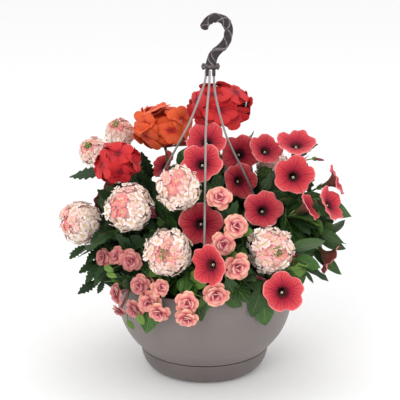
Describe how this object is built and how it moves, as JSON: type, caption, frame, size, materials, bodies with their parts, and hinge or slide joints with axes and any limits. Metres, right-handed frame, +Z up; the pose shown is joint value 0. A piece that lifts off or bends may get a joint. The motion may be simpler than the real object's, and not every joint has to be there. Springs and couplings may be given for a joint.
{
  "type": "flowering hanging basket",
  "caption": "Plastic hanging bowl with a clip-on saucer and a moulded hook on three strands, planted with mixed trailing and upright flowers.",
  "frame": {"origin": "where the inside of the hook's crook bears on the rail that it hangs from", "axes": "+Z up, -Y the front seen in the picture, +X to the right"},
  "size_m": [0.3916, 0.3356, 0.484],
  "materials": {
    "taupe_plastic": "moulded taupe-grey polypropylene, satin",
    "dark_taupe_plastic": "moulded darker taupe polypropylene, satin",
    "potting_soil": "damp peat-like potting soil, crumbly",
    "hook_plastic": "moulded dark taupe plastic with raised twig-like ribs",
    "strand_plastic": "grey polypropylene cord, satin",
    "petunia_petals": "thin soft coral-red petals with dark veins and throat",
    "calibrachoa_petals": "ruffled double petals, peach at the edge and pink inside",
    "verbena_petals": "small cream to pink florets in round heads",
    "pelargonium_petals": "velvety red and orange petals in round heads",
    "foliage": "green leaves and stems, slightly glossy"
  },
  "bodies": {
    "root": {"bowl": "taupe_plastic", "double_front_left": "calibrachoa_petals", "double_front_right": "calibrachoa_petals", "double_front_top": "calibrachoa_petals", "double_front_upper": "calibrachoa_petals", "double_hidden_2_0": "calibrachoa_petals", "double_hidden_2_1": "calibrachoa_petals", "double_hidden_2_2": "calibrachoa_petals", "double_left": "calibrachoa_petals", "double_left_front": "calibrachoa_petals", "double_left_low": "calibrachoa_petals", "double_low_left": "calibrachoa_petals", "hook": "hook_plastic", "leafy_stems_back_left": "foliage", "leafy_stems_back_right": "foliage", "leafy_stems_front_left": "foliage", "leafy_stems_front_right": "foliage", "leafy_stems_left": "foliage", "leafy_stems_middle": "foliage", "leafy_stems_right": "foliage", "pelargonium_crown": "pelargonium_petals", "pelargonium_left": "pelargonium_petals", "pelargonium_orange": "pelargonium_petals", "petunia_crown": "petunia_petals", "petunia_crown_front": "petunia_petals", "petunia_far_right": "petunia_petals", "petunia_front": "petunia_petals", "petunia_front_low": "petunia_petals", "petunia_hidden_0_0": "petunia_petals", "petunia_hidden_0_1": "petunia_petals", "petunia_hidden_0_2": "petunia_petals", "petunia_hidden_0_3": "petunia_petals", "petunia_hidden_1_0": "petunia_petals", "petunia_hidden_1_1": "petunia_petals", "petunia_high_right": "petunia_petals", "petunia_inner_right": "petunia_petals", "petunia_left_upper": "petunia_petals", "petunia_low_inner_right": "petunia_petals", "petunia_low_right": "petunia_petals", "petunia_right_inner": "petunia_petals", "petunia_right_outer": "petunia_petals", "petunia_right_side": "petunia_petals", "petunia_right_top": "petunia_petals", "petunia_right_upper": "petunia_petals", "saucer": "dark_taupe_plastic", "soil": "potting_soil", "strand_front": "strand_plastic", "strand_left": "strand_plastic", "strand_right": "strand_plastic", "verbena_back_left": "verbena_petals", "verbena_far_left": "verbena_petals", "verbena_front": "verbena_petals", "verbena_front_right": "verbena_petals", "verbena_hidden_3_0": "verbena_petals", "verbena_hidden_3_1": "verbena_petals", "verbena_hidden_3_2": "verbena_petals", "verbena_left": "verbena_petals", "verbena_middle": "verbena_petals", "verbena_upper_left": "verbena_petals"}
  },
  "joints": []
}
